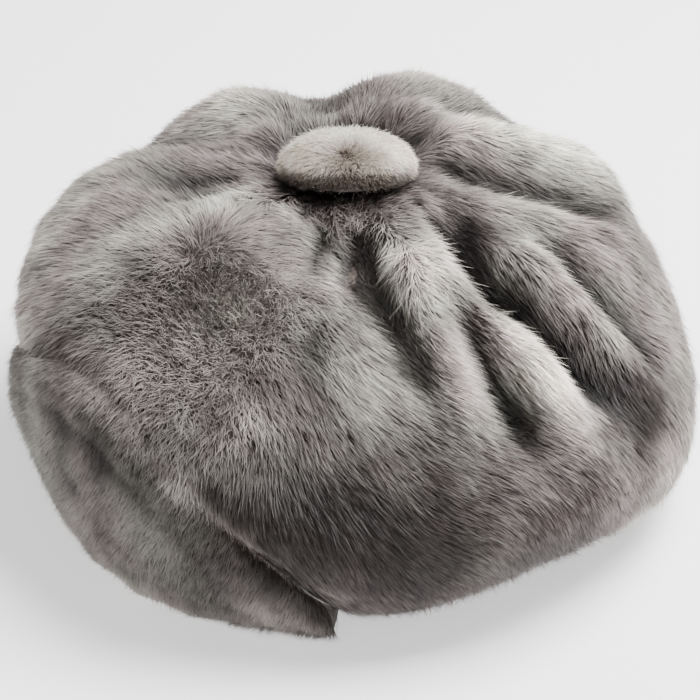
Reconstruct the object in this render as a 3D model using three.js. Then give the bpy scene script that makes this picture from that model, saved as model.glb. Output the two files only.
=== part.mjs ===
// Fur cap: a full, gathered crown, a fur button on top and a short turned-down peak.
// Millimetres, +Z up. The front faces -Y and the cap rests on the plane Z = 0.
// Azimuths are degrees round the cap: 0 is the front, 90 is +X, 180 the nape.
import * as THREE from "three";

// Head opening, measured inside the fur wall
const HEAD_HALF_WIDTH = 86;
const HEAD_HALF_LENGTH = 99;

// Crown wall of fur pile on its backing: its thickness, the least below any valley, how closely
// its inside follows the folds, and how far to each side it looks for the deepest one
const WALL = 9;
const WALL_LEAST = 5.5;
const LINING_FOLLOW = 0.85;
const LINING_REACH = 6.5;
const LINING_END = 0.985;

// Grid of the crown, and the length of a section from the button down to the hem
const COLUMNS = 112;
const ROWS = 33;
const LINING_COLUMNS = COLUMNS / 2;
const LINING_ROWS = 12;
const SECTION_LENGTH = 230;
const PROFILE_SAMPLES = 80;

// Middle of the crown, and the flat seat there that the button lies on
const POLE = new THREE.Vector3(-24, 14, 132);
const SEAT_RADIUS = 24;
const SEAT_BLEND = 20;
const SEAT_TILT = 12;
const SEAT_AZIMUTH = 238;

// Distance kept between two pieces, and the least height over the table
const GAP = 0.4;
const CLEAR_OF_TABLE = 0.2;

// Crown sections: reach and height of the crest, the belt and the belly, and the hem's height
const SECTIONS = [
  { azimuth: 0, crest: 74, crestZ: 118, belt: 122, beltZ: 90, belly: 115, bellyZ: 72, hem: 60 },
  { azimuth: 28, crest: 74, crestZ: 110, belt: 124, beltZ: 76, belly: 115, bellyZ: 58, hem: 45 },
  { azimuth: 58, crest: 78, crestZ: 104, belt: 123, beltZ: 57, belly: 117, bellyZ: 24, hem: 0 },
  { azimuth: 100, crest: 86, crestZ: 108, belt: 132, beltZ: 62, belly: 123, bellyZ: 27, hem: 0 },
  { azimuth: 140, crest: 94, crestZ: 112, belt: 144, beltZ: 56, belly: 144, bellyZ: 24, hem: 0 },
  { azimuth: 165, crest: 96, crestZ: 118, belt: 141, beltZ: 80, belly: 136, bellyZ: 28, hem: 0 },
  { azimuth: 190, crest: 98, crestZ: 123, belt: 146, beltZ: 89, belly: 138, bellyZ: 30, hem: 0 },
  { azimuth: 215, crest: 106, crestZ: 129, belt: 153, beltZ: 99, belly: 138, bellyZ: 36, hem: 0 },
  { azimuth: 240, crest: 104, crestZ: 127, belt: 150, beltZ: 98, belly: 136, bellyZ: 40, hem: 0 },
  { azimuth: 270, crest: 98, crestZ: 125, belt: 149, beltZ: 98, belly: 132, bellyZ: 40, hem: 0 },
  { azimuth: 300, crest: 99, crestZ: 123, belt: 147, beltZ: 91, belly: 134, bellyZ: 42, hem: 4 },
  { azimuth: 332, crest: 88, crestZ: 121, belt: 136, beltZ: 86, belly: 134, bellyZ: 63, hem: 48 },
];

// Folds of the crown. Each runs through three places, an azimuth and a fraction of the way
// from the button to the hem. A positive rise is a ridge and a negative one a valley.
const FOLDS = [
  // Valley below the button, wide at its top
  { from: [50, 0.12], through: [69, 0.24], to: [81, 0.48], width: 8, rise: -11 },
  { from: [42, 0.12], through: [50, 0.16], to: [60, 0.24], width: 12, rise: -5 },
  // Deepest valley, with its rounded lower end
  { from: [132, 0.12], through: [111, 0.28], to: [119, 0.62], width: 7.5, rise: -18 },
  // Valley in the side panel
  { from: [100, 0.26], through: [95, 0.42], to: [95, 0.6], width: 7, rise: -15 },
  // Valley between the side and the nape
  { from: [143, 0.26], through: [137, 0.43], to: [134, 0.62], width: 7.5, rise: -15 },
  // Narrow valley below the overhanging ridge
  { from: [188, 0.13], through: [171, 0.32], to: [169, 0.52], width: 7.5, rise: -16 },
  // Broad valley on the far side of the front
  { from: [308, 0.14], through: [308, 0.27], to: [300, 0.42], width: 13, rise: -8 },
  // Shallow step in the front panel
  { from: [42, 0.28], through: [44, 0.4], to: [48, 0.52], width: 6, rise: -3.5 },
  // Valleys of the nape and the far side
  { from: [247, 0.18], through: [246, 0.36], to: [244, 0.6], width: 10, rise: -8 },
  { from: [274, 0.22], through: [279, 0.4], to: [283, 0.66], width: 10, rise: -8 },
  { from: [207, 0.24], through: [204, 0.4], to: [205, 0.64], width: 9, rise: -7 },
  // Main ridge between the deepest valley and the side valley
  { from: [112, 0.12], through: [103, 0.3], to: [107, 0.66], width: 8, rise: 11 },
  // Lesser ridge beside the valley below the button
  { from: [84, 0.14], through: [85, 0.32], to: [88, 0.54], width: 8, rise: 8 },
  // Ridge between the deepest valley and the one nearer the nape
  { from: [134, 0.24], through: [127, 0.42], to: [126, 0.66], width: 9, rise: 10 },
  // Rounded ridge along the top of the front
  { from: [8, 0.12], through: [349, 0.32], to: [334, 0.62], width: 15, rise: 8 },
  // Overhanging ridge towards the nape
  { from: [200, 0.16], through: [182, 0.38], to: [181, 0.62], width: 10, rise: 11 },
  // Lobes of the nape and the far side
  { from: [226, 0.16], through: [224, 0.36], to: [226, 0.6], width: 15, rise: 5 },
  { from: [262, 0.2], through: [262, 0.4], to: [263, 0.62], width: 13, rise: 6 },
  { from: [318, 0.3], through: [318, 0.46], to: [316, 0.66], width: 14, rise: 4 },
];

// Gathers drawn in round the button
const GATHERS = 17;
const GATHER_RISE = 1.6;

// Locks of fur: their length down the pile, how far the tips stand, and their number round
const LOCK_LENGTH = 28;
const LOCK_RISE = 2.2;
const LOCKS_ROUND = 28;

// Peak: from its root against the crown's front to its edge just above the table. Its sections
// give the reach and height of the edge, how far it bulges, and the length of crown it covers.
const PEAK_COLUMNS = 17;
const PEAK_HALF_ANGLE = (360 / COLUMNS) * PEAK_COLUMNS;
const PEAK_THICKNESS = 8;
const PEAK_ROOT_STEPS = 8;
const PEAK_ROOT_GAP = 0.9;
const PEAK_STEPS = 9;
const PEAK_STEP_GROWTH = 1.4;
const PEAK_LEAST = 4;
const PEAK_LOCK_ANGLE = (360 / COLUMNS) * 4;
const PEAK_SECTIONS = [
  { azimuth: -55, edge: 111, edgeHeight: 1.5, bulge: 6, cover: 24 },
  { azimuth: -38, edge: 128, edgeHeight: 1.5, bulge: 8, cover: 45 },
  { azimuth: -18, edge: 127, edgeHeight: 1, bulge: 7, cover: 54 },
  { azimuth: 0, edge: 124, edgeHeight: 1, bulge: 7, cover: 56 },
  { azimuth: 18, edge: 120, edgeHeight: 1, bulge: 7, cover: 53 },
  { azimuth: 38, edge: 112, edgeHeight: 1, bulge: 6, cover: 41 },
  { azimuth: 55, edge: 109, edgeHeight: 1, bulge: 4, cover: 21 },
];

// Button: a flat pad of fur
const BUTTON_RADIUS = 28.5;
const BUTTON_RISE = 13;
const BUTTON_DROP = 7;
const BUTTON_LOCKS = 20;
const BUTTON_COLUMNS = BUTTON_LOCKS * 2;
const BUTTON_ROWS = 11;
const BUTTON_LOCK_RISE = 1.3;

const radians = THREE.MathUtils.degToRad;
const { clamp, lerp, smoothstep, euclideanModulo } = THREE.MathUtils;

// Unit vector in plan for an azimuth
function heading(azimuth) {
  return new THREE.Vector3(Math.sin(radians(azimuth)), -Math.cos(radians(azimuth)), 0);
}

// Reach of the oval with the given half axes
function ovalReach(azimuth, halfWidth, halfLength) {
  const direction = heading(azimuth);
  return 1 / Math.hypot(direction.x / halfWidth, direction.y / halfLength);
}

// Reads a table of sections at any azimuth, smoothly
function tableReader(rows, closed) {
  const keys = Object.keys(rows[0]).filter((key) => key !== "azimuth");
  const turns = closed ? [-360, 0, 360] : [0];
  const all = turns.flatMap((turn) => rows.map((row) => ({ ...row, azimuth: row.azimuth + turn })));
  const angles = all.map((row) => row.azimuth);
  const values = all.flatMap((row) => keys.map((key) => row[key]));
  const spline = new THREE.CubicInterpolant(angles, values, keys.length);
  return (azimuth) => {
    const result = spline.evaluate(azimuth);
    return Object.fromEntries(keys.map((key, index) => [key, result[index]]));
  };
}
const crownSection = tableReader(SECTIONS, true);
const peakSection = tableReader(PEAK_SECTIONS, false);

// One section of the smooth crown, from the button to the hem
function measureProfile(azimuth) {
  const section = crownSection(azimuth);
  const hemReach = ovalReach(azimuth, HEAD_HALF_WIDTH + WALL, HEAD_HALF_LENGTH + WALL);
  const knots = [
    new THREE.Vector3(-section.crest, 0, section.crestZ),
    new THREE.Vector3(0, 0, POLE.z),
    new THREE.Vector3(section.crest, 0, section.crestZ),
    new THREE.Vector3(section.belt, 0, section.beltZ),
    new THREE.Vector3(section.belly, 0, section.bellyZ),
    new THREE.Vector3(hemReach, 0, Math.max(section.hem, 0)),
  ];
  const curve = new THREE.CatmullRomCurve3(knots, false, "centripetal");
  const start = 1 / (knots.length - 1);
  const samples = [];
  const lengths = [0];
  for (let i = 0; i <= PROFILE_SAMPLES; i += 1) {
    samples.push(curve.getPoint(lerp(start, 1, i / PROFILE_SAMPLES)));
    if (i > 0) lengths.push(lengths[i - 1] + samples[i].distanceTo(samples[i - 1]));
  }
  return { belt: section.belt, samples, lengths };
}

const profiles = new Map();
function crownProfile(azimuth) {
  const key = euclideanModulo(azimuth, 360).toFixed(3);
  if (!profiles.has(key)) profiles.set(key, measureProfile(Number(key)));
  return profiles.get(key);
}

// Height of the button's seat, a tilted plane, at a place in plan
function seatHeight(x, y) {
  const dip = heading(SEAT_AZIMUTH);
  return POLE.z - Math.tan(radians(SEAT_TILT)) * ((x - POLE.x) * dip.x + (y - POLE.y) * dip.y);
}

// Point of the smooth crown at a fraction of the way from the button to the hem
function smoothPoint(azimuth, fraction) {
  const { belt, samples, lengths } = crownProfile(azimuth);
  const wanted = lengths[PROFILE_SAMPLES] * clamp(fraction, 0, 1);
  let index = 0;
  while (index < PROFILE_SAMPLES - 1 && lengths[index + 1] < wanted) index += 1;
  const along = (wanted - lengths[index]) / (lengths[index + 1] - lengths[index]);
  const point = samples[index].clone().lerp(samples[index + 1], along);
  const shift = 1 - smoothstep(point.x, 0, belt);
  const place = heading(azimuth).multiplyScalar(point.x);
  place.x += POLE.x * shift;
  place.y += POLE.y * shift;
  const seat = 1 - smoothstep(fraction * SECTION_LENGTH, SEAT_RADIUS, SEAT_RADIUS + SEAT_BLEND);
  place.z = lerp(Math.max(point.z, 0), seatHeight(place.x, place.y), seat);
  return place;
}

// Outward normal of the smooth crown
function smoothNormal(azimuth, fraction) {
  const turn = 1;
  const stride = 0.004;
  const middle = clamp(fraction, 2 * stride, 1 - stride);
  const down = smoothPoint(azimuth, middle + stride).sub(smoothPoint(azimuth, middle - stride));
  const round = smoothPoint(azimuth + turn, middle).sub(smoothPoint(azimuth - turn, middle));
  return down.cross(round).normalize();
}

// Place on the crown laid out flat, as a disc with the button at its centre
function flatPlace(azimuth, fraction) {
  return heading(azimuth).multiplyScalar(SECTION_LENGTH * fraction);
}

// Distance from a place to one straight stretch, and how far along the stretch it is met
function measureTo(place, start, end) {
  const stretch = end.clone().sub(start);
  const along = clamp(place.clone().sub(start).dot(stretch) / stretch.lengthSq(), 0, 1);
  return { along, distance: start.clone().addScaledVector(stretch, along).distanceTo(place) };
}

const foldLines = FOLDS.map((fold) => ({
  ...fold,
  points: [fold.from, fold.through, fold.to].map(([azimuth, fraction]) => flatPlace(azimuth, fraction)),
}));

// Rise of one fold at a place: rounded across, and faded out at both ends
function foldRise(fold, place) {
  const first = measureTo(place, fold.points[0], fold.points[1]);
  const second = measureTo(place, fold.points[1], fold.points[2]);
  const inFirst = first.distance < second.distance;
  const distance = Math.min(first.distance, second.distance);
  const along = inFirst ? first.along / 2 : (1 + second.along) / 2;
  const ends = smoothstep(along, 0, 0.2) * (1 - smoothstep(along, 0.68, 1));
  return fold.rise * ends * Math.exp(-0.5 * (distance / fold.width) ** 2);
}

// Gathers: small radial pleats that start at the button's rim
function gatherRise(azimuth, fraction) {
  const strength = smoothstep(fraction, 0.09, 0.14) * (1 - smoothstep(fraction, 0.18, 0.36));
  return GATHER_RISE * strength * Math.cos(radians(azimuth * GATHERS));
}

// Folds and gathers together, let out before the hem
function clothRise(azimuth, fraction) {
  const place = flatPlace(azimuth, fraction);
  const folds = foldLines.reduce((sum, fold) => sum + foldRise(fold, place), 0);
  return (folds + gatherRise(azimuth, fraction)) * (1 - smoothstep(fraction, 0.72, 0.9));
}

// One lock: it rises along the pile, drops at its tip, and is rounded across
function lockShape(along, across) {
  const tip = along < 0.8 ? along / 0.8 : (1 - along) / 0.2;
  return tip * (0.5 + 0.5 * Math.cos(2 * Math.PI * across));
}

// Staggered rows of locks, pointing from the button to the hem
function lockRise(azimuth, fraction) {
  const pile = (fraction * SECTION_LENGTH) / LOCK_LENGTH;
  const row = Math.floor(pile);
  const count = row < 2 ? LOCKS_ROUND / 2 : LOCKS_ROUND;
  const across = (azimuth * count) / 360 + (row % 2) / 2;
  const strength = smoothstep(fraction, 0.12, 0.2) * (1 - smoothstep(fraction, 0.84, 0.92));
  return LOCK_RISE * strength * lockShape(pile - row, across);
}

// Collects the corners and triangles of one closed body
class Skin {
  constructor() {
    this.corners = [];
    this.triangles = [];
  }

  addCorner(point) {
    this.corners.push(point.x, point.y, point.z);
    return this.corners.length / 3 - 1;
  }

  addRing(points) {
    return points.map((point) => this.addCorner(point));
  }

  // Fan between a corner and a closed ring
  fan(centre, ring) {
    ring.forEach((corner, k) => {
      this.triangles.push(centre, corner, ring[(k + 1) % ring.length]);
    });
  }

  // Band between two closed rings with the same number of corners
  band(upper, lower) {
    upper.forEach((corner, k) => {
      const next = (k + 1) % upper.length;
      this.triangles.push(corner, lower[k], upper[next], upper[next], lower[k], lower[next]);
    });
  }

  // Band from a ring to one with half as many corners
  bandToHalf(full, half) {
    half.forEach((corner, k) => {
      const next = half[(k + 1) % half.length];
      const end = full[(2 * k + 2) % full.length];
      this.triangles.push(full[2 * k], corner, full[2 * k + 1]);
      this.triangles.push(full[2 * k + 1], corner, next);
      this.triangles.push(full[2 * k + 1], next, end);
    });
  }

  // Flat face over a ring, from the ring's own outline in its plane
  endFace(outline, ring, turned) {
    THREE.ShapeUtils.triangulateShape(outline, []).forEach(([a, b, c]) => {
      this.triangles.push(ring[a], ring[turned ? b : c], ring[turned ? c : b]);
    });
  }

  geometry() {
    const result = new THREE.BufferGeometry();
    result.setAttribute("position", new THREE.Float32BufferAttribute(this.corners, 3));
    result.setIndex(this.triangles);
    result.computeVertexNormals();
    return result;
  }
}

// Azimuths of a ring's columns
function ringAzimuths(count) {
  return Array.from({ length: count }, (_, column) => (360 * column) / count);
}

// Fur side of the crown
function outerPoint(azimuth, fraction) {
  const rise = clothRise(azimuth, fraction) + lockRise(azimuth, fraction);
  const point = smoothPoint(azimuth, fraction).addScaledVector(smoothNormal(azimuth, fraction), rise);
  if (fraction < 1) point.z = Math.max(point.z, CLEAR_OF_TABLE);
  return point;
}

// Deepest place of the cloth within one lining column of an azimuth
function deepestNear(azimuth, fraction) {
  const steps = [-1, -0.5, 0, 0.5, 1];
  return Math.min(...steps.map((step) => clothRise(azimuth + step * LINING_REACH, fraction)));
}

// Inside of the crown, one wall away. Ridges are smoothed over under the button, where the
// folds are tight, and every valley keeps a wall below it.
function liningPoint(azimuth, fraction) {
  const follow = LINING_FOLLOW * smoothstep(fraction, 0.14, 0.3);
  const even = clothRise(azimuth, fraction) * follow - WALL;
  const depth = Math.min(even, deepestNear(azimuth, fraction) - WALL_LEAST);
  return smoothPoint(azimuth, fraction).addScaledVector(smoothNormal(azimuth, fraction), depth);
}

// Inner edge of the hem, at the head opening
function openingPoint(azimuth) {
  const point = heading(azimuth).multiplyScalar(ovalReach(azimuth, HEAD_HALF_WIDTH, HEAD_HALF_LENGTH));
  point.z = smoothPoint(azimuth, 1).z;
  return point;
}

function crownGeometry() {
  const skin = new Skin();
  const outerAzimuths = ringAzimuths(COLUMNS);
  const liningAzimuths = ringAzimuths(LINING_COLUMNS);
  const top = skin.addCorner(smoothPoint(0, 0));
  let ring = null;
  for (let row = 1; row <= ROWS; row += 1) {
    const lower = skin.addRing(outerAzimuths.map((azimuth) => outerPoint(azimuth, row / ROWS)));
    if (ring) skin.band(ring, lower);
    else skin.fan(top, lower);
    ring = lower;
  }
  const opening = skin.addRing(liningAzimuths.map(openingPoint));
  skin.bandToHalf(ring, opening);
  ring = opening;
  for (let row = LINING_ROWS; row >= 1; row -= 1) {
    const fraction = (LINING_END * row) / LINING_ROWS;
    const inner = skin.addRing(liningAzimuths.map((azimuth) => liningPoint(azimuth, fraction)));
    skin.band(ring, inner);
    ring = inner;
  }
  const ceiling = skin.addCorner(smoothPoint(0, 0).addScaledVector(seatNormal(), -WALL));
  skin.fan(ceiling, ring.slice().reverse());
  return skin.geometry();
}

// Upward normal of the button's seat
function seatNormal() {
  const lean = heading(SEAT_AZIMUTH).multiplyScalar(Math.sin(radians(SEAT_TILT)));
  return lean.setZ(Math.cos(radians(SEAT_TILT)));
}

// Root of the peak: it lies along the part of the crown that it covers, a gap away
function peakRoot(azimuth, cover) {
  const reach = (point) => new THREE.Vector2(Math.hypot(point.x, point.y), point.z);
  const fractions = Array.from(
    { length: PEAK_ROOT_STEPS + 1 },
    (_, k) => 1 - (cover / SECTION_LENGTH) * (k / PEAK_ROOT_STEPS),
  );
  const points = fractions.map((fraction) => reach(outerPoint(azimuth, fraction)));
  return points.map((point, k) => {
    const before = points[Math.max(k - 1, 0)];
    const after = points[Math.min(k + 1, PEAK_ROOT_STEPS)];
    const face = after.clone().sub(before).normalize();
    return point.clone().add(new THREE.Vector2(face.y, -face.x).multiplyScalar(PEAK_ROOT_GAP));
  });
}

// Reach of the peak's root at a height, or nothing below its lowest point
function rootReach(root, height) {
  const upper = root.findIndex((point) => point.y >= height);
  if (upper < 1) return 0;
  const [low, high] = [root[upper - 1], root[upper]];
  return lerp(low.x, high.x, (height - low.y) / (high.y - low.y));
}

// Cross-section of the peak: the fur side from the root to the edge, the inside, then the root
function peakOutline(azimuth) {
  const row = peakSection(azimuth);
  const whole = peakRoot(azimuth, row.cover);
  const root = whole.slice(0, -1);
  const lip = whole[whole.length - 1];
  const across = azimuth / PEAK_LOCK_ANGLE;
  const edge = new THREE.Vector2(row.edge + Math.cos(2 * Math.PI * across), row.edgeHeight);
  const underEdge = new THREE.Vector2(edge.x - PEAK_THICKNESS / 2, edge.y);
  const outer = [];
  const inner = [];
  for (let step = 0; step <= PEAK_STEPS; step += 1) {
    const along = (step / PEAK_STEPS) ** PEAK_STEP_GROWTH;
    const swell = row.bulge * 4 * along * (1 - along);
    const pile = lockShape(euclideanModulo(along * 2, 1), across + (along < 0.5 ? 0 : 0.5));
    const fade = smoothstep(along, 0, 0.15) * (1 - smoothstep(along, 0.85, 1));
    const point = lip.clone().lerp(edge, along);
    const cover = Math.min((lip.y - point.y) / 2, PEAK_LEAST);
    point.x = Math.max(point.x + swell, rootReach(whole, point.y) + cover) + LOCK_RISE * fade * pile;
    outer.push(point);
    inner.push(root[0].clone().lerp(underEdge, along).add(new THREE.Vector2(swell * 0.8, 0)));
  }
  return outer.concat(inner.reverse(), root.slice(1));
}

// Places the points of a cross-section, reach and height, at an azimuth
function stood(outline, azimuth) {
  return outline.map((point) => heading(azimuth).multiplyScalar(point.x).setZ(point.y));
}

function peakGeometry() {
  const skin = new Skin();
  const stations = Array.from({ length: 2 * PEAK_COLUMNS + 1 }, (_, k) => k / PEAK_COLUMNS - 1);
  const azimuths = stations.map((station) => station * PEAK_HALF_ANGLE);
  const outlines = azimuths.map(peakOutline);
  const rings = outlines.map((outline, k) => skin.addRing(stood(outline, azimuths[k])));
  rings.slice(1).forEach((ring, k) => skin.band(ring, rings[k]));
  skin.endFace(outlines[0], rings[0], true);
  skin.endFace(outlines[outlines.length - 1], rings[rings.length - 1], false);
  return skin.geometry();
}

// Point of the button in its own frame, from the middle of its top to that of its underside
function buttonPoint(azimuth, polar) {
  const rise = polar < Math.PI / 2 ? BUTTON_RISE : BUTTON_DROP;
  const bluntness = 0.8;
  const round = Math.sin(polar) ** bluntness;
  const height = Math.sign(Math.cos(polar)) * Math.abs(Math.cos(polar)) ** bluntness;
  const lock = BUTTON_LOCK_RISE * Math.cos(radians(azimuth * BUTTON_LOCKS)) * Math.sin(polar) ** 2;
  const point = heading(azimuth).multiplyScalar((BUTTON_RADIUS + lock) * round);
  return point.setZ(height * rise);
}

function buttonGeometry() {
  const skin = new Skin();
  const azimuths = ringAzimuths(BUTTON_COLUMNS);
  const top = skin.addCorner(buttonPoint(0, 0));
  let ring = null;
  for (let row = 1; row < BUTTON_ROWS; row += 1) {
    const polar = (Math.PI * row) / BUTTON_ROWS;
    const lower = skin.addRing(azimuths.map((azimuth) => buttonPoint(azimuth, polar)));
    if (ring) skin.band(ring, lower);
    else skin.fan(top, lower);
    ring = lower;
  }
  skin.fan(skin.addCorner(buttonPoint(0, Math.PI)), ring.slice().reverse());
  return skin.geometry();
}

// A matt fur material of one colour
function fur(color) {
  return new THREE.MeshStandardMaterial({ color, roughness: 0.9, metalness: 0 });
}

function namedMesh(name, geometry, material) {
  const mesh = new THREE.Mesh(geometry, material);
  mesh.name = name;
  return mesh;
}

const crown = namedMesh("crown", crownGeometry(), fur(0x8f8986));
const peak = namedMesh("peak", peakGeometry(), fur(0x858080));
const button = namedMesh("button", buttonGeometry(), fur(0xa9a49b));
button.position.copy(POLE).addScaledVector(seatNormal(), BUTTON_DROP + GAP);
button.quaternion.setFromUnitVectors(new THREE.Vector3(0, 0, 1), seatNormal());

// The middle of the whole cap stands over the origin
const cap = new THREE.Group();
cap.add(crown, peak, button);
const middle = new THREE.Box3().setFromObject(cap, true).getCenter(new THREE.Vector3());
cap.position.set(-middle.x, -middle.y, 0);
export default cap;
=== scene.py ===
"""Grey faux-fur cap: hides, pile and studio, dressed over the CAD frame. Metres, +Z up."""

import logging
import math
from dataclasses import dataclass, field
from enum import Enum
from typing import Any

import bpy
import numpy as np
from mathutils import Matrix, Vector
from mathutils.bvhtree import BVHTree
from mathutils.kdtree import KDTree


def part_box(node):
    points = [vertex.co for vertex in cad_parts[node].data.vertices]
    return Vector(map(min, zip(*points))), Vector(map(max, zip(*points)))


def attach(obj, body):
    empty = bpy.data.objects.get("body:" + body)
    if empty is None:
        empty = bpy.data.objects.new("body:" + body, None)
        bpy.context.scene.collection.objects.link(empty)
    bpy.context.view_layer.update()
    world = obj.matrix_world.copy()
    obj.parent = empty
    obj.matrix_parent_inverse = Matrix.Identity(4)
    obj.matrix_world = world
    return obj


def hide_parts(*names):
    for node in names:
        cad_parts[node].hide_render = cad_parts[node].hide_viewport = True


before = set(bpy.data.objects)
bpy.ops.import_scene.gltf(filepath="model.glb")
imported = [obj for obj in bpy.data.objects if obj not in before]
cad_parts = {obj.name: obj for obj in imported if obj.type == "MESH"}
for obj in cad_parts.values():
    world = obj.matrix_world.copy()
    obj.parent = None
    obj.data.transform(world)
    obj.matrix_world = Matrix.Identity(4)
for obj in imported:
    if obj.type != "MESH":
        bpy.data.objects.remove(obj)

LOG = logging.getLogger("fur_cap")
MM = 0.001
Array = np.ndarray

# Centre of the head opening and its half sizes, as in the part's source
OPENING_CENTRE = (9.2 * MM, -8.1 * MM)
OPENING_HALF = (86 * MM, 99 * MM)
HEM_TOP = 68 * MM

# Middle of the gathered crown in plan, where the pile parts
CROWN_POLE = (-14.8 * MM, 5.9 * MM)

# Grid on which corners in one place are welded
WELD = 0.01 * MM

# The hem's inner edge lies within this many times the opening's half sizes
HEM_REACH = 1.02

# Sinking of a hide: where the ray inward starts, in millimetres, how far it goes, in metres,
# and the most of the wall's thickness that may be taken
RAY_START = 0.2
RAY_REACH = 0.05
MOST_SUNK = 0.45

# Shares of a fibre below and above its bend, and its width at the bend
LOWER_SHARE = 0.42
UPPER_SHARE = 0.58
BEND_WIDTH = 0.8

# Spread of length and width from fibre to fibre, and of the pull towards a lock
LENGTH_RANGE = (0.8, 1.15)
WIDTH_RANGE = (0.7, 1.2)
PULL_RANGE = (0.6, 1.2)

# Raised pile is made shorter: by this share at this many degrees
RAISED_SHORTER = 0.4
RAISED_FULL = 45

# Tone: its limits, its spread by fibre and by lock, and the height and width of broad patches
TONE_LIMITS = (-1.7, 1.3)
FIBRE_TONE = 0.12
LOCK_TONE = 0.09
PATCH_TONE = 0.35
PATCH_WIDTH = 26 * MM

# Wander of the lie: width of its waves and how far it swings, in degrees
BROAD_WANDER = (50 * MM, 24)
FINE_WANDER = (16 * MM, 9)

# Share of the fibres that are the middle of a lock
LOCK_SHARE = 0.12

# Power that narrows the fold mark, which drives the painted shade in valleys and the painted
# light on ridges, to the deepest and highest places
FOLD_POWER = 1.5

# How small the still eye in the middle of a parting is; a larger number is a smaller eye
PARTING_EYE = 9


class Side(Enum):
    """Quarter of the crown's pile, from one azimuth to another in degrees.

    The borders are set so that each quarter holds about as many fibres as the next.
    """

    FRONT = (312.0, 57.0)
    LEFT = (57.0, 131.0)
    NAPE = (131.0, 218.0)
    RIGHT = (218.0, 312.0)


@dataclass(frozen=True)
class Tuft:
    """Place where the pile differs: how far that reaches, and what it does there.

    spread turns the pile away from the place, turn swings it round by some degrees, lift stands
    it up, stir leaves it lying every way by about so many degrees, and tone makes it paler, above
    nought, or darker.
    """

    name: str
    place: tuple[float, float, float]
    reach: float
    spread: float = 0.0
    turn: float = 0.0
    lift: float = 0.0
    stir: float = 0.0
    tone: float = 0.0


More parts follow.
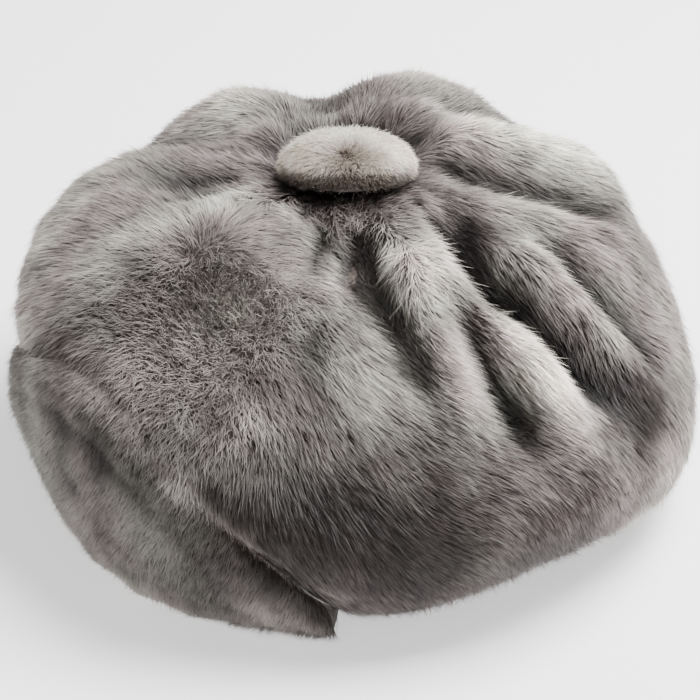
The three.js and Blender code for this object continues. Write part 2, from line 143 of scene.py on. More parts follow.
# Places in millimetres on the cap's outside
TUFTS = (
    Tuft("parting of the front panel", (4, -83, 116), 62, spread=2.0),
    Tuft("upright pile at the panel's top", (2, -73, 121), 17, lift=34, stir=70, tone=0.15),
    Tuft("upright pile at the panel's right", (26, -63, 116), 17, lift=34, stir=70, tone=0.45),
    Tuft("upright pile at the panel's middle", (16, -93, 110), 22, lift=32, stir=60, tone=0.7),
    Tuft("upright pile at the panel's left", (-14, -105, 108), 18, lift=24, stir=50, tone=-0.4),
    Tuft("front panel below", (38, -102, 96), 26, lift=16, stir=40, tone=0.25),
    # Tone along the front crest: the pale rims are painted light on it, the dark edges under the rim
    # painted shade
    Tuft("pale rim at the front", (-40, -101, 114), 20, tone=0.5),
    Tuft("pale rim over the panel", (-7, -46, 134), 17, lift=6, tone=1.6),
    Tuft("pale rim above the panel's middle", (-22, -74, 128), 13, tone=0.9),
    Tuft("dark edge under the rim, left", (-14, -91, 119), 9, tone=-0.8),
    Tuft("dark edge under the rim, middle", (-4, -77, 123), 10, tone=-0.6),
    Tuft("dark edge under the rim, right", (9, -64, 124), 10, tone=-0.7),
    Tuft("dark edge under the rim, end", (24, -53, 121), 9, tone=-0.7),
    # Painted shade on the slope behind the button
    Tuft("slope behind the button", (-66, 30, 130), 30, tone=-0.8),
    Tuft("far slope of the front", (-88, -8, 124), 20, tone=0.7),
    # Painted light on the crest beside the button
    Tuft("pale rim beside the button", (12, -37, 127), 20, tone=1.7),
    Tuft("pale tuft on the panel", (61, -89, 96), 9, lift=12, tone=1.6),
    Tuft("dark edge of the tuft", (54, -95, 96), 6, tone=-1.0),
    Tuft("step in the panel", (49, -62, 106), 18, tone=-0.4),
    Tuft("side panel", (77, -42, 101), 30, tone=0.7),
    Tuft("brown hollow under the button", (10, -7, 133), 14, lift=20, stir=50, tone=0.4),
    # Tone over the ridges and valleys right of the button: the pale rows on the ridges are painted
    # light, the dark rows in the deepest and side valleys and at the lip painted shade, and the pale
    # rows in the first and broad valleys painted light that offsets the painted fold shade
    Tuft("first valley", (56, -15, 110), 16, tone=1.1),
    Tuft("top of the ridge", (46, -3, 128), 20, spread=0.8, lift=8, stir=20, tone=1.3),
    Tuft("middle of the ridge", (66, 4, 118), 13, tone=-0.8),
    Tuft("long ridge", (94, 14, 107), 20, tone=1.9),
    Tuft("end of the long ridge", (115, 24, 94), 18, tone=0.5),
    Tuft("dark end of the deepest valley", (118, 62, 80), 17, tone=-2.6),
    Tuft("first valley at its top", (16, -14, 128), 13, tone=0.8),
    Tuft("deepest valley at its top", (30, 29, 117), 9, tone=-1.0),
    Tuft("deepest valley above its middle", (64, 33, 109), 9, tone=-1.6),
    Tuft("deepest valley at its middle", (89, 44, 98), 14, tone=-1.8),
    Tuft("deepest valley below its middle", (110, 53, 86), 11, tone=-1.6),
    Tuft("side valley", (98, 9, 97), 8, tone=-0.8),
    Tuft("lip of the overhanging ridge", (22, 109, 107), 8, tone=-1.3),
    Tuft("broad valley above the lobe", (8, 84, 113), 20, tone=1.9),
    Tuft("flat beside the front panel", (-20, -128, 94), 18, tone=-0.9),
    Tuft("peak at its top", (26, -133, 82), 18, tone=-0.7),
    Tuft("peak at its far side", (-10, -138, 60), 22, tone=0.6),
    Tuft("peak near its edge", (72, -116, 28), 22, tone=-0.9),
    Tuft("peak at its corner", (94, -96, 24), 14, tone=1.0),
    # Painted light on the overhanging ridge's front
    Tuft("overhanging ridge by the button", (-12, 62, 134), 18, tone=1.3),
    Tuft("overhanging ridge", (4, 82, 124), 20, tone=1.3),
    Tuft("end of the overhanging ridge", (14, 98, 118), 20, tone=1.1),
    # Painted shade on the lower wall
    Tuft("wall below the side panel", (119, -50, 62), 40, tone=-1.5),
    Tuft("wall beside the peak", (92, -89, 68), 32, tone=-1.5),
    Tuft("wall at the front", (50, -125, 80), 26, tone=-0.5),
    Tuft("wall towards the nape", (141, 7, 48), 34, tone=-1.4),
    Tuft("dark nick in the peak", (4, -139, 46), 5, tone=-1.6),
    Tuft("whorl of the button", (-5, -1, 147), 15, spread=3.0, lift=16, stir=30, tone=-1.4),
    Tuft("brown front of the button", (4, -6, 145), 10, tone=-1.1),
    Tuft("nap brushed back along the left side", (118, -34, 74), 74, turn=50),
    Tuft("pale line above the peak", (66, -118, 76), 9, lift=10, tone=0.7),
    Tuft("pale line at the groove", (79, -111, 70), 9, lift=10, tone=0.5),
    Tuft("pale line below the groove", (86, -106, 56), 9, lift=8, tone=0.6),
    # Painted shade in the groove
    Tuft("groove at its top", (73, -111, 80), 6, tone=-1.3),
    Tuft("groove at its middle", (82, -105, 74), 6, tone=-1.5),
    Tuft("groove at its lower end", (93, -98, 60), 6, tone=-1.3),
)


def linear(colour: str) -> tuple[float, float, float, float]:
    """Turns an sRGB hex colour to linear RGBA.

    Args:
        colour: Six hex digits.

    Returns:
        Red, green, blue and alpha in linear light.
    """
    values = [int(colour[i : i + 2], 16) / 255 for i in (0, 2, 4)]
    parts = [v / 12.92 if v <= 0.04045 else ((v + 0.055) / 1.055) ** 2.4 for v in values]
    return (parts[0], parts[1], parts[2], 1.0)


def unit(vectors: Array) -> Array:
    """Returns the rows of an array at length one."""
    return vectors / np.maximum(np.linalg.norm(vectors, axis=-1, keepdims=True), 1e-12)


def add_node(tree: Any, kind: str, settings: dict[str, Any], links: dict[str, Any]) -> Any:
    """Adds a shader node, sets it up and links its inputs.

    Args:
        tree: The node tree.
        kind: Blender's name of the node type.
        settings: Properties of the node, or values of its inputs by name or number.
        links: Output sockets to join to inputs, by input name or number.

    Returns:
        The new node.
    """
    node = tree.nodes.new(kind)
    for name, value in settings.items():
        if isinstance(name, str) and hasattr(node, name):
            setattr(node, name, value)
        else:
            node.inputs[name].default_value = value
    for name, socket in links.items():
        tree.links.new(socket, node.inputs[name])
    return node


def add_ramp(tree: Any, factor: Any, stops: list[tuple[float, str]]) -> Any:
    """Adds a colour ramp.

    Args:
        tree: The node tree.
        factor: Socket that drives the ramp.
        stops: Place and sRGB hex colour of each stop, in order.

    Returns:
        The ramp's colour socket.
    """
    node = add_node(tree, "ShaderNodeValToRGB", {}, {"Fac": factor})
    ramp = node.color_ramp
    while len(ramp.elements) < len(stops):
        ramp.elements.new(1.0)
    for element, (place, colour) in zip(ramp.elements, stops):
        element.position = place
        element.color = linear(colour)
    return node.outputs["Color"]


@dataclass(frozen=True)
class SoftNoise:
    """Smooth random field in space, the same each run."""

    seed: int
    scale: float
    size: int = 48
    offset: float = 1000.0
    gain: float = 1.4

    def at(self, points: Array) -> Array:
        """Evaluates the field.

        Args:
            points: Places, one a row, in metres.

        Returns:
            Values of about -1 to 1.
        """
        lattice = np.random.default_rng(self.seed).uniform(-1, 1, (self.size,) * 3)
        place = points / self.scale + self.offset
        cell = np.floor(place).astype(int)
        part = place - cell
        part = part * part * (3 - 2 * part)
        total = np.zeros(len(points))
        for corner in np.ndindex(2, 2, 2):
            index = (cell + corner) % self.size
            weight = np.prod(np.where(np.array(corner) == 1, part, 1 - part), axis=1)
            total += weight * lattice[index[:, 0], index[:, 1], index[:, 2]]
        return total * self.gain


@dataclass(frozen=True)
class PileFinish:
    """Modacrylic fur pile, extruded fibre, tip-sheared and heat-lustred.

    To the eye: brown-black at the root, mauve-grey along the shaft, pale greenish grey at the
    tip, with a soft gloss along the fibre and patches a finger wide where the tone shifts. It is
    darker down in a fold, partly where the pile parts and shows its roots and partly from painted
    shade, and paler on a ridge from painted light.
    """

    name: str
    root: str
    shaft: str
    tip: str
    patch: str
    gain: float = 1.0
    # Painted shade at the bottom of a fold, painted light on a ridge, and the fold values between
    # which they ramp
    fold_painted_shade: float = 0.1
    ridge_painted_light: float = 1.3
    fold_range: tuple[float, float] = (-0.8, 0.78)
    tone_shift: float = 0.28
    tone_level: float = 0.38
    cool: str = "FAFBF6"
    warm: str = "FBF3F5"
    roughness: float = 0.5
    patch_width: float = 11 * MM
    tint_width: float = 40 * MM

    def material(self) -> bpy.types.Material:
        """Builds the fibre material.

        Returns:
            The material, which reads the fibres' along, tone and fold.
        """
        made = bpy.data.materials.new(self.name)
        made.use_nodes = True
        tree = made.node_tree
        tree.nodes.clear()
        along = add_node(tree, "ShaderNodeAttribute", {"attribute_name": "along"}, {})
        tone = add_node(tree, "ShaderNodeAttribute", {"attribute_name": "tone"}, {})
        fold = add_node(tree, "ShaderNodeAttribute", {"attribute_name": "fold"}, {})
        stops = [(0.0, self.root), (0.16, self.root), (0.46, self.shaft), (0.95, self.tip)]
        shift = add_node(
            tree, "ShaderNodeMath", {"operation": "MULTIPLY_ADD", 1: self.tone_shift},
            {0: tone.outputs["Fac"]},
        )
        tree.links.new(along.outputs["Fac"], shift.inputs[2])
        base = add_ramp(tree, shift.outputs[0], stops)
        place = add_node(tree, "ShaderNodeTexCoord", {}, {})
        cloud = add_node(
            tree,
            "ShaderNodeTexNoise",
            {"Scale": 1 / self.patch_width, "Detail": 3.0, "Roughness": 0.55},
            {"Vector": place.outputs["Object"]},
        )
        spread = add_node(
            tree, "ShaderNodeMapRange", {1: 0.4, 2: 0.66, 3: 0.0, 4: 0.55},
            {0: cloud.outputs["Fac"]},
        )
        mixed = add_node(
            tree,
            "ShaderNodeMix",
            {"data_type": "RGBA", "blend_type": "MULTIPLY", 7: linear(self.patch)},
            {0: spread.outputs[0], 6: base},
        )
        drift = add_node(
            tree, "ShaderNodeTexNoise", {"Scale": 1 / self.tint_width, "Detail": 1.0},
            {"Vector": place.outputs["Object"]},
        )
        tint = add_ramp(tree, drift.outputs["Fac"], [(0.4, self.cool), (0.6, self.warm)])
        tinted = add_node(
            tree,
            "ShaderNodeMix",
            {"data_type": "RGBA", "blend_type": "MULTIPLY", 0: 1.0},
            {6: mixed.outputs[2], 7: tint},
        )
        level = add_node(
            tree, "ShaderNodeMath", {"operation": "MULTIPLY_ADD", 1: self.tone_level, 2: self.gain},
            {0: tone.outputs["Fac"]},
        )
        # Painted shade in the folds and painted light on the ridges, read from the fold mark
        ridge, valley = self.fold_range
        shade = add_node(
            tree, "ShaderNodeMapRange", {1: ridge, 2: valley, 3: self.ridge_painted_light, 4: self.fold_painted_shade},
            {0: fold.outputs["Fac"]},
        )
        both = add_node(
            tree, "ShaderNodeMath", {"operation": "MULTIPLY"},
            {0: level.outputs[0], 1: shade.outputs[0]},
        )
        bright = add_node(
            tree, "ShaderNodeVectorMath", {"operation": "SCALE"},
            {0: tinted.outputs[2], "Scale": both.outputs[0]},
        )
        shader = add_node(
            tree,
            "ShaderNodeBsdfPrincipled",
            {"Roughness": self.roughness, "IOR": 1.45, "Specular IOR Level": 0.35},
            {"Base Color": bright.outputs[0]},
        )
        add_node(tree, "ShaderNodeOutputMaterial", {}, {"Surface": shader.outputs[0]})
        return made


@dataclass(frozen=True)
class ClothFinish:
    """Knitted polyester, matt, as undercoat or as the backing that shows inside."""

    name: str
    dark: str
    light: str
    grain: float
    depth: float

    def material(self) -> bpy.types.Material:
        """Builds the cloth material.

        Returns:
            The material, mottled and lightly raised at the size of its grain.
        """
        made = bpy.data.materials.new(self.name)
        made.use_nodes = True
        tree = made.node_tree
        tree.nodes.clear()
        place = add_node(tree, "ShaderNodeTexCoord", {}, {})
        cloud = add_node(
            tree,
            "ShaderNodeTexNoise",
            {"Scale": 1 / self.grain, "Detail": 5.0, "Roughness": 0.65},
            {"Vector": place.outputs["Object"]},
        )
        colour = add_ramp(tree, cloud.outputs["Fac"], [(0.35, self.dark), (0.68, self.light)])
        bump = add_node(
            tree, "ShaderNodeBump", {"Strength": 0.6, "Distance": self.depth},
            {"Height": cloud.outputs["Fac"]},
        )
        shader = add_node(
            tree,
            "ShaderNodeBsdfPrincipled",
            {"Roughness": 0.9, "IOR": 1.5, "Specular IOR Level": 0.2},
            {"Base Color": colour, "Normal": bump.outputs[0]},
        )
        add_node(tree, "ShaderNodeOutputMaterial", {}, {"Surface": shader.outputs[0]})
        return made


# Crown and peak pile, and the paler button, whose fibres show their tips
CROWN_PILE = PileFinish("crown_modacrylic_pile", "4E4340", "938B88", "CFCCC4", "958B89", 1.04)
PEAK_PILE = PileFinish("peak_modacrylic_pile", "463C37", "8B8581", "C6C3BB", "98918C", 1.04)
BUTTON_PILE = PileFinish("button_modacrylic_pile", "5A4C43", "B4AA9C", "F8F5EA", "C8BDAC", 1.12)
UNDERCOAT = ClothFinish("knitted_undercoat", "3A322F", "6A625E", 1.6 * MM, 0.5 * MM)
BACKING = ClothFinish("knitted_backing", "4C4744", "6B6562", 1.2 * MM, 0.2 * MM)


@dataclass
class Hide:
    """Welded mesh of one CAD node, with its furred faces told from its bare ones."""

    node: str
    points: Array = field(init=False)
    faces: Array = field(init=False)

    def __post_init__(self) -> None:
        """Reads the node's mesh and welds corners that lie in one place."""
        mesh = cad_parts[self.node].data
        mesh.calc_loop_triangles()
        raw = np.zeros(len(mesh.vertices) * 3)
        mesh.vertices.foreach_get("co", raw)
        corners = np.zeros(len(mesh.loop_triangles) * 3, int)
        mesh.loop_triangles.foreach_get("vertices", corners)
        keys = np.round(raw.reshape(-1, 3) / WELD).astype(int)
        _, first, index = np.unique(keys, axis=0, return_index=True, return_inverse=True)
        self.points = raw.reshape(-1, 3)[first]
        faces = index.reshape(-1)[corners].reshape(-1, 3)
        a, b, c = faces.T
        self.faces = faces[(a != b) & (b != c) & (a != c)]

    def face_normals(self) -> Array:
        """Returns the faces' normals, as long as twice their areas."""
        a, b, c = (self.points[self.faces[:, k]] for k in range(3))
        return np.cross(b - a, c - a)

    def corner_normals(self, chosen: Array, rounds: int = 2) -> Array:
        """Normals at the corners, evened out over their neighbours.

        Args:
            chosen: Mask of the faces that count.
            rounds: How often they are evened.

        Returns:
            One unit normal a corner.
        """
        normals = np.zeros_like(self.points)
        weight = self.face_normals()[chosen]
        for k in range(3):
            np.add.at(normals, self.faces[chosen, k], weight)
        normals = unit(normals)
        for _ in range(rounds):
            total = normals.copy()
            for k in range(3):
                for other in (1, 2):
                    beside = normals[self.faces[chosen, (k + other) % 3]] * 0.5
                    np.add.at(total, self.faces[chosen, k], beside)
            normals = unit(total)
        return normals

    def evened(self, chosen: Array, rounds: int) -> Array:
        """Places of the corners with each drawn towards its neighbours.

        Args:
            chosen: Mask of the faces that count.
            rounds: How often they are evened.

        Returns:
            One place a corner.
        """
        faces = self.faces[chosen]
        count = np.zeros(len(self.points))
        np.add.at(count, faces.reshape(-1), 2.0)
        even = self.points.copy()
        for _ in range(rounds):
            total = np.zeros_like(even)
            for k in range(3):
                beside = even[faces[:, (k + 1) % 3]] + even[faces[:, (k + 2) % 3]]
                np.add.at(total, faces[:, k], beside)
            moved = total / np.maximum(count, 1.0)[:, None]
            even = np.where(count[:, None] > 0, 0.5 * even + 0.5 * moved, even)
        return even

    def hollows(self, chosen: Array, rounds: int = 26, full: float = 6.0 * MM) -> Array:
        """How deep each corner lies in a fold, against an evened surface.

        Args:
            chosen: Mask of the faces that count.
            rounds: How often the surface is evened.
            full: Depth that counts as one.

        Returns:
            A value of -1, on a ridge, to 1, in a valley, for each corner.
        """
        drawn = self.evened(chosen, rounds) - self.points
        depth = (drawn * self.corner_normals(chosen)).sum(axis=1)
        used = np.unique(self.faces[chosen])
        return np.clip((depth - np.median(depth[used])) / full, -1, 1)

    def crown_skin(self) -> Array:
        """Finds the crown's outer side: what is reached from the top without the hem's inner edge.

        Returns:
            Mask of the outer faces.
        """
        centre, half = np.array(OPENING_CENTRE), np.array(OPENING_HALF)
        oval = np.linalg.norm((self.points[:, :2] - centre) / half, axis=1)
        inner_edge = (oval < HEM_REACH) & (self.points[:, 2] < HEM_TOP)
        blocked = inner_edge[self.faces].any(axis=1)
        reached = np.zeros(len(self.points), bool)
        reached[int(np.argmax(self.points[:, 2]))] = True
        count = 0
        while count != int(reached.sum()):
            count = int(reached.sum())
            near = reached[self.faces].any(axis=1) & ~blocked
            reached[self.faces[near].reshape(-1)] = True
        return reached[self.faces].all(axis=1) & ~blocked

    def outward(self, centre: tuple[float, float, float], least: float) -> Array:
        """Finds the faces that look away from a point.

        Args:
            centre: The point.
            least: Least cosine between a face's normal and the way from the point.

        Returns:
            Mask of those faces.
        """
        middle = self.points[self.faces].mean(axis=1)
        away = unit(middle - np.array(centre))
        return (unit(self.face_normals()) * away).sum(axis=1) > least


@dataclass
class Pile:
    """Fibres over the furred faces of a hide: flat ribbons, each tapering to its tip.

    rise and lie are the slopes of a fibre below and above its bend, in degrees over the surface.
    spray is how far it turns aside, clump and pull draw its tip to a lock, and evening smooths
    the normals. A share of the fibres are guard hairs, which are longer and steeper.
    """

    hide: Hide
    furred: Array
    count: int
    seed: int
    length: float = 10.5 * MM
    width: float = 0.32 * MM
    depth: float = 3.2 * MM
    rise: float = 30.0
    lie: float = 9.0
    clump: float = 3.0 * MM
    pull: float = 0.24
    spray: float = 7.0
    evening: int = 2
    rise_spread: float = 7.0
    lie_spread: float = 6.0
    roll: float = 32.0
    guard_share: float = 0.1
    guard_length: float = 1.2
    guard_rise: float = 6.0
    guard_lie: float = 12.0
    random: np.random.Generator = field(init=False)
    roots: Array = field(init=False)
    normals: Array = field(init=False)
    fold: Array = field(init=False)
    lift: Array = field(init=False)
    tone: Array = field(init=False)
    stir: Array = field(init=False)

    def __post_init__(self) -> None:
        """Draws the roots, evenly over the area."""
        self.random = np.random.default_rng(self.seed)
        faces = self.hide.faces[self.furred]
        area = np.linalg.norm(self.hide.face_normals()[self.furred], axis=1)
        pick = self.random.choice(len(faces), self.count, p=area / area.sum())
        mix = self.random.dirichlet((1, 1, 1), self.count)
        corner_normals = self.hide.corner_normals(self.furred, self.evening)
        self.roots = (self.hide.points[faces[pick]] * mix[:, :, None]).sum(axis=1)
        # Depth in a fold, which the finish turns into painted shade in valleys and painted light on
        # ridges
        hollow = self.hide.hollows(self.furred)
        fold = (hollow[faces[pick]] * mix).sum(axis=1)
        self.fold = np.sign(fold) * np.abs(fold) ** FOLD_POWER
        self.normals = unit((corner_normals[faces[pick]] * mix[:, :, None]).sum(axis=1))
        self.lift = np.zeros(self.count)
        self.tone = np.zeros(self.count)
        self.stir = np.zeros(self.count)

    def turned(self, flow: Array, degrees: Array) -> Array:
        """Turns directions about the surface normal.

        Args:
            flow: Direction of every fibre.
            degrees: How far each is turned.

        Returns:
            The new directions.
        """
        angle = np.radians(degrees)[:, None]
        across = np.cross(self.normals, flow)
        return unit(flow * np.cos(angle) + across * np.sin(angle))

    def downhill(self, pole: tuple[float, float]) -> Array:
        """Lie of the pile: away from the pole and down, along the surface.

        Args:
            pole: Place in plan where the pile parts.

        Returns:
            One unit direction a fibre.
        """
        away = self.roots[:, :2] - np.array(pole)
        reach = np.linalg.norm(away, axis=1, keepdims=True)
        out = np.hstack([away / np.maximum(reach, 1e-9), np.zeros((len(reach), 1))])
        wish = out + np.array([0, 0, -1.0])
        flow = wish - self.normals * (wish * self.normals).sum(axis=1, keepdims=True)
        wander = SoftNoise(self.seed + 11, BROAD_WANDER[0]).at(self.roots) * BROAD_WANDER[1]
        wander = wander + SoftNoise(self.seed + 12, FINE_WANDER[0]).at(self.roots) * FINE_WANDER[1]
        return self.turned(unit(flow), wander)

    def tufted(self, flow: Array) -> Array:
        """Applies the table of tufts to the lie, the lift and the tone.

        Args:
            flow: Lie of every fibre.

        Returns:
            The new lie.
        """
        swing = np.zeros(self.count)
        for tuft in TUFTS:
            away = self.roots - np.array(tuft.place) * MM
            apart = (away**2).sum(axis=1) / (tuft.reach * MM) ** 2
            near = np.exp(-apart)
            parted = near * (1 - np.exp(-PARTING_EYE * apart))
            along = unit(away - self.normals * (away * self.normals).sum(axis=1, keepdims=True))
            flow = unit(flow + along * (tuft.spread * parted)[:, None])
            swing += tuft.turn * near
            self.lift += tuft.lift * near
            self.stir += tuft.stir * near
            self.tone += tuft.tone * near
        return self.turned(flow, swing)

    def build(self, name: str, flow: Array, keep: Array, finish: bpy.types.Material) -> Any:
        """Makes one piece of pile.

        Args:
            name: The piece's name.
            flow: Lie of every fibre.
            keep: Mask of the fibres that this piece holds.
            finish: The fibre material.

        Returns:
            The new object.
        """
        root, normal, way = self.roots[keep], self.normals[keep], flow[keep]
        random = np.random.default_rng(self.seed + len(name))
        total = len(root)
        guard = random.random(total) < self.guard_share
        length = self.length * random.uniform(*LENGTH_RANGE, total)
        length = length * np.where(guard, self.guard_length, 1.0)
        lift = self.lift[keep]
        length = length * (1 - RAISED_SHORTER * np.clip(lift / RAISED_FULL, 0, 1))
        rise = self.rise + lift + random.normal(0, self.rise_spread, total) + guard * self.guard_rise
        rise = np.radians(rise)[:, None]
        lie = self.lie + lift + random.normal(0, self.lie_spread, total) + guard * self.guard_lie
        lie = np.radians(lie)[:, None]
        turn = np.radians(random.normal(0, 1, total) * (self.spray + self.stir[keep]))[:, None]
        way = unit(way * np.cos(turn) + np.cross(normal, way) * np.sin(turn))
        start = root - normal * self.depth
        middle = start + (way * np.cos(rise) + normal * np.sin(rise)) * (LOWER_SHARE * length)[:, None]
        tip = middle + (way * np.cos(lie) + normal * np.sin(lie)) * (UPPER_SHARE * length)[:, None]
        tip, tone = self.gathered(root, tip, random)
        floor = 0.4 * MM
        for row in (start, middle, tip):
            row[:, 2] = np.maximum(row[:, 2], floor)
        roll = np.radians(random.uniform(-self.roll, self.roll, total))[:, None]
        side = unit(np.cross(normal, tip - start))
        side = side * np.cos(roll) + normal * np.sin(roll)
        half = side * (self.width * random.uniform(*WIDTH_RANGE, total) / 2)[:, None]
        bend = half * BEND_WIDTH
        rows = np.stack([start - half, start + half, middle - bend, middle + bend, tip], 1)
        tone = np.clip(tone + self.tone[keep] + random.normal(0, FIBRE_TONE, total), *TONE_LIMITS)
        marks = {"tone": tone, "fold": self.fold[keep]}
        return ribbon_mesh(name, rows, marks, finish)

    def gathered(
        self, root: Array, tip: Array, random: np.random.Generator
    ) -> tuple[Array, Array]:
        """Draws tips together into small locks and gives each lock a tone.

        Args:
            root: Fibre roots.
            tip: Fibre tips.
            random: Source of the draws.

        Returns:
            The new tips, and a tone of -1 to 1 for each fibre.
        """
        share = max(1, int(len(root) * LOCK_SHARE))
        chosen = random.choice(len(root), share, replace=False)
        tree = KDTree(share)
        for slot, index in enumerate(chosen):
            tree.insert(Vector(root[index]), slot)
        tree.balance()
        nearest = np.array([tree.find(Vector(place))[1] for place in root])
        hub = chosen[nearest]
        strength = self.pull * random.uniform(*PULL_RANGE, len(root))
        drift = tip[hub] - tip
        span = np.linalg.norm(drift, axis=1)
        strength = strength * np.clip(self.clump / np.maximum(span, 1e-9), 0, 1)
        tone = random.normal(0, LOCK_TONE, share)[nearest]
        tone = tone + PATCH_TONE * SoftNoise(self.seed + 21, PATCH_WIDTH).at(root)
        return tip + drift * strength[:, None], tone


def ribbon_mesh(name: str, rows: Array, marks: dict[str, Array], finish: bpy.types.Material) -> Any:
    """Makes a mesh of ribbons with five corners and three faces each.

    Args:
        name: The piece's name.
        rows: Corners of each ribbon, root pair, middle pair and tip.
        marks: Named values, one for each ribbon, that the finish reads.
        finish: The fibre material.

    Returns:
        The new object, linked to the scene.
    """
    total = len(rows)
    pattern = np.array([0, 1, 3, 0, 3, 2, 2, 3, 4])
    corners = (np.arange(total)[:, None] * 5 + pattern).reshape(-1)
    mesh = bpy.data.meshes.new(name)
    mesh.vertices.add(total * 5)
    mesh.vertices.foreach_set("co", rows.reshape(-1))
    mesh.loops.add(len(corners))
    mesh.loops.foreach_set("vertex_index", corners)
    mesh.polygons.add(total * 3)
    mesh.polygons.foreach_set("loop_start", np.arange(total * 3) * 3)
    mesh.update(calc_edges=True)
    along = np.tile([0.0, 0.0, 0.45, 0.45, 1.0], total)
    layers = {"along": along} | {label: np.repeat(values, 5) for label, values in marks.items()}
    for label, values in layers.items():
        layer = mesh.attributes.new(label, "FLOAT", "POINT")
        layer.data.foreach_set("value", values.astype(np.float32))
    mesh.materials.append(finish)
    made = bpy.data.objects.new(name, mesh)
    bpy.context.scene.collection.objects.link(made)
    return made


def hide_object(name: str, hide: Hide, furred: Array, depth: float) -> Any:
    """Makes the closed body under the pile, sunk below the fur and bare where no fur grows.

    Args:
        name: The piece's name.
        hide: The welded mesh.
        furred: Mask of the furred faces.
        depth: How far the furred side is sunk.

    Returns:
        The new object, linked to the scene.
    """
    normals = hide.corner_normals(furred)
    weight = np.zeros(len(hide.points), bool)
    weight[hide.faces[furred].reshape(-1)] = True
    tree = BVHTree.FromPolygons(hide.points.tolist(), hide.faces.tolist())
    points = hide.points.copy()
    for index in np.nonzero(weight)[0]:
        inward = Vector(-normals[index])
        start = Vector(hide.points[index]) + inward * RAY_START * MM
        hit = tree.ray_cast(start, inward, RAY_REACH)
        room = hit[3] if hit[3] is not None else 2 * depth
        points[index] -= normals[index] * min(depth, MOST_SUNK * room)
    points[:, 2] = np.maximum(points[:, 2], hide.points[:, 2].min())
    mesh = bpy.data.meshes.new(name)
    mesh.from_pydata(points.tolist(), [], hide.faces.tolist())
    mesh.materials.append(UNDERCOAT.material())
    mesh.materials.append(BACKING.material())
    mesh.polygons.foreach_set("material_index", np.where(furred, 0, 1))
    mesh.polygons.foreach_set("use_smooth", np.ones(len(hide.faces), bool))
    mesh.update()
    made = bpy.data.objects.new(name, mesh)
    bpy.context.scene.collection.objects.link(made)
    return made


def dress(piece: Any) -> Any:
    """Puts a piece on the cap's one body.

    Args:
        piece: The piece.

    Returns:
        The same piece.
    """
    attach(piece, "root")
    return piece


@dataclass
class Crown:
    """Gathered crown: one hide, and its pile in four quarters.

    The pile is darkened by painted shadow round the button, by gather_painted_shadow within about
    gather_reach of the pole, and by painted shade towards the hem, by hem_painted_shade once it is
    hem_fade below hem_from.
    """

    fibres: int = 245000
    depth: float = 3.2 * MM
    gather_painted_shadow: float = 0.9
    gather_reach: float = 30 * MM
    gather_edge: int = 6
    hem_painted_shade: float = 0.45
    hem_from: float = 62 * MM
    hem_fade: float = 40 * MM

    def build(self) -> list[Any]:
        """Makes the crown's pieces.

        Returns:
            The hide and the four quarters of pile.
        """
        hide = Hide("crown")
        furred = hide.crown_skin()
        body = dress(hide_object("crown_hide", hide, furred, self.depth))
        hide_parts("crown")
        pile = Pile(hide, furred, self.fibres, 101, depth=self.depth)
        flow = pile.tufted(pile.downhill(CROWN_POLE))
        away = pile.roots[:, :2] - np.array(CROWN_POLE)
        reach = np.linalg.norm(away, axis=1) / self.gather_reach
        # Painted shadow round the button's seat, and painted shade growing towards the hem
        pile.tone -= self.gather_painted_shadow * np.exp(-(reach**self.gather_edge))
        pile.tone -= self.hem_painted_shade * np.clip((self.hem_from - pile.roots[:, 2]) / self.hem_fade, 0, 1)
        azimuth = np.degrees(np.arctan2(away[:, 0], -away[:, 1])) % 360
        finish = CROWN_PILE.material()
        pieces = [body]
        for side in Side:
            low, high = side.value
            keep = (azimuth >= low) & (azimuth < high)
            if low > high:
                keep = (azimuth >= low) | (azimuth < high)
            piece = pile.build(f"crown_pile_{side.name.lower()}", flow, keep, finish)
            pieces.append(dress(piece))
        return pieces


@dataclass
class Peak:
    """Short peak under the crown's front, furred where it looks away from the head.

    The head's middle is taken at head_height, and a face is furred from the cosine least.
    """

    fibres: int = 42000
    depth: float = 2.8 * MM
    head_height: float = 30 * MM
    least: float = 0.1

    def build(self) -> list[Any]:
        """Makes the peak's pieces.

        Returns:
            The hide and the pile.
        """
        hide = Hide("peak")
        furred = hide.outward((*OPENING_CENTRE, self.head_height), self.least)
        body = dress(hide_object("peak_hide", hide, furred, self.depth))
        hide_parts("peak")
        pile = Pile(
            hide, furred, self.fibres, 202, length=8 * MM, depth=self.depth,
            rise=40.0, lie=24.0, spray=16.0,
        )
        flow = pile.tufted(pile.downhill(OPENING_CENTRE))
        keep = np.ones(self.fibres, bool)
        piece = pile.build("peak_pile", flow, keep, PEAK_PILE.material())
        return [body, dress(piece)]


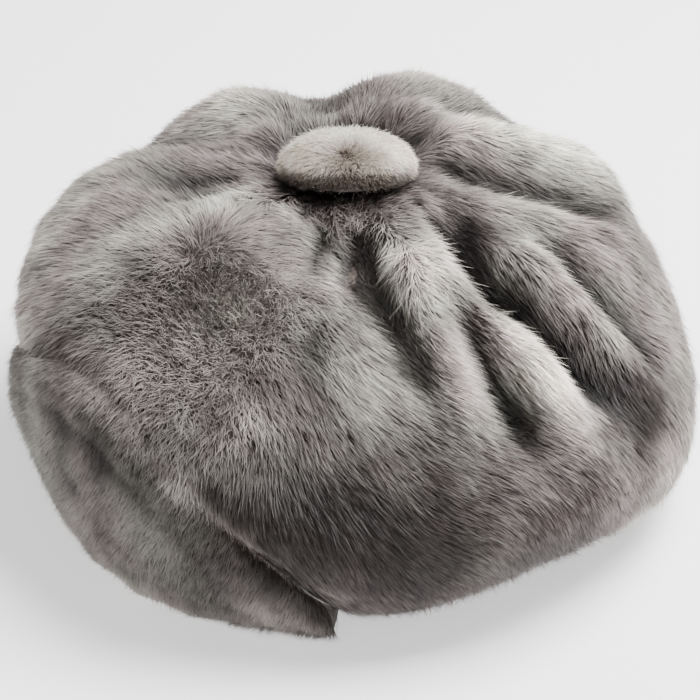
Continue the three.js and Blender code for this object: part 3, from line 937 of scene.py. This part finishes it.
@dataclass
class Button:
    """Fur-covered pad in the middle of the crown, its pile spread from a whorl.

    axis is the upright of the tilted pad, and shaded the way in plan to the side where its rim is
    darkened by painted shade. The rim begins rim_top above the pad's middle and is full rim_height
    below that.
    """

    fibres: int = 24000
    depth: float = 3.0 * MM
    axis: tuple[float, float, float] = (-0.18, 0.11, 0.98)
    shaded: tuple[float, float] = (0.85, -0.53)
    shaded_reach: float = 18 * MM
    rim_top: float = 5 * MM
    rim_height: float = 7 * MM
    rim_lift: float = 12.0
    rim_painted_shade: float = 3.4
    top_tone: float = 0.5
    heart_depth: float = 4 * MM
    overhang: float = -0.12
    smoothing: int = 2

    def build(self) -> list[Any]:
        """Makes the button's pieces.

        Returns:
            The pad and the pile.
        """
        hide = Hide("button")
        hide.points = hide.evened(np.ones(len(hide.faces), bool), self.smoothing)
        low, high = (np.array(corner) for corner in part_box("button"))
        middle = (low + high) / 2
        furred = hide.outward(tuple(middle - [0, 0, self.heart_depth]), 0.0)
        furred &= unit(hide.face_normals())[:, 2] > self.overhang
        body = dress(hide_object("button_pad", hide, furred, self.depth))
        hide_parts("button")
        pile = Pile(
            hide, furred, self.fibres, 303, length=6 * MM, width=0.27 * MM, depth=self.depth,
            rise=30.0, lie=8.0, spray=26.0, evening=9,
        )
        flow = pile.tufted(pile.downhill((float(middle[0]), float(middle[1]))))
        height = (pile.roots - middle) @ np.array(self.axis)
        rim = np.clip((self.rim_top - height) / self.rim_height, 0, 1)
        forward = (pile.roots[:, :2] - middle[:2]) @ np.array(self.shaded) / self.shaded_reach
        # Paler pile all over, and painted shade on the lower rim towards the shaded side
        pile.tone += self.top_tone - self.rim_painted_shade * rim * np.clip(forward, 0, 1)
        pile.lift += self.rim_lift * rim
        keep = np.ones(self.fibres, bool)
        piece = pile.build("button_pile", flow, keep, BUTTON_PILE.material())
        return [body, dress(piece)]


@dataclass
class Studio:
    """Pale floor, soft light from above, and the camera at the photograph's angle."""

    azimuth: float = 58.0
    elevation: float = 36.0
    distance: float = 1.1
    lens: float = 131.8
    target: tuple[float, float, float] = (1.0 * MM, -2.7 * MM, 56.9 * MM)
    floor_half: float = 6.0
    floor_glow: float = 0.8
    air: float = 0.45

    def build(self) -> None:
        """Makes the floor, the lights and the camera."""
        self.floor()
        self.light("key", (0.1, 0.5, 1.1), 0.7, 50.0)
        self.light("fill", (0.9, -0.7, 0.9), 1.0, 2.0)
        world = bpy.data.worlds.new("studio_air")
        world.use_nodes = True
        background = world.node_tree.nodes["Background"]
        background.inputs["Color"].default_value = linear("FFFFFF")
        background.inputs["Strength"].default_value = self.air
        bpy.context.scene.world = world
        self.camera()

    def floor(self) -> None:
        """Makes the plain pale floor, just below the cap."""
        mesh = bpy.data.meshes.new("floor")
        half = self.floor_half
        corners = [(-half, -half, 0), (half, -half, 0), (half, half, 0), (-half, half, 0)]
        mesh.from_pydata(corners, [], [(0, 1, 2, 3)])
        made = bpy.data.materials.new("painted_floor")
        made.use_nodes = True
        shader = made.node_tree.nodes["Principled BSDF"]
        shader.inputs["Base Color"].default_value = linear("FFFFFF")
        shader.inputs["Emission Color"].default_value = linear("FFFFFF")
        shader.inputs["Emission Strength"].default_value = self.floor_glow
        shader.inputs["Roughness"].default_value = 0.9
        mesh.materials.append(made)
        floor = bpy.data.objects.new("floor", mesh)
        bpy.context.scene.collection.objects.link(floor)

    def light(self, name: str, place: tuple[float, float, float], size: float, power: float) -> None:
        """Adds a square soft light that looks at the cap.

        Args:
            name: The light's name.
            place: Where it stands.
            size: Its side.
            power: Its power in watts.
        """
        data = bpy.data.lights.new(name, "AREA")
        data.size = size
        data.energy = power
        lamp = bpy.data.objects.new(name, data)
        lamp.location = place
        towards = Vector(self.target) - Vector(place)
        lamp.rotation_euler = towards.to_track_quat("-Z", "Y").to_euler()
        bpy.context.scene.collection.objects.link(lamp)

    def camera(self) -> None:
        """Adds the camera."""
        a, e = math.radians(self.azimuth), math.radians(self.elevation)
        back = Vector((math.sin(a) * math.cos(e), -math.cos(a) * math.cos(e), math.sin(e)))
        data = bpy.data.cameras.new("camera")
        data.lens = self.lens
        data.sensor_width = 36.0
        data.clip_start, data.clip_end = 0.05, 50.0
        camera = bpy.data.objects.new("camera", data)
        camera.location = Vector(self.target) + back * self.distance
        camera.rotation_euler = (-back).to_track_quat("-Z", "Y").to_euler()
        bpy.context.scene.collection.objects.link(camera)
        bpy.context.scene.camera = camera


def main() -> None:
    """Builds the cap and its studio."""
    logging.basicConfig(level=logging.INFO, format="%(message)s")
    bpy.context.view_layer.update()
    Studio().build()
    for assembly in (Crown(), Peak(), Button()):
        for piece in assembly.build():
            LOG.info("%s: %d faces", piece.name, len(piece.data.polygons))


if __name__ == "__main__":
    main()
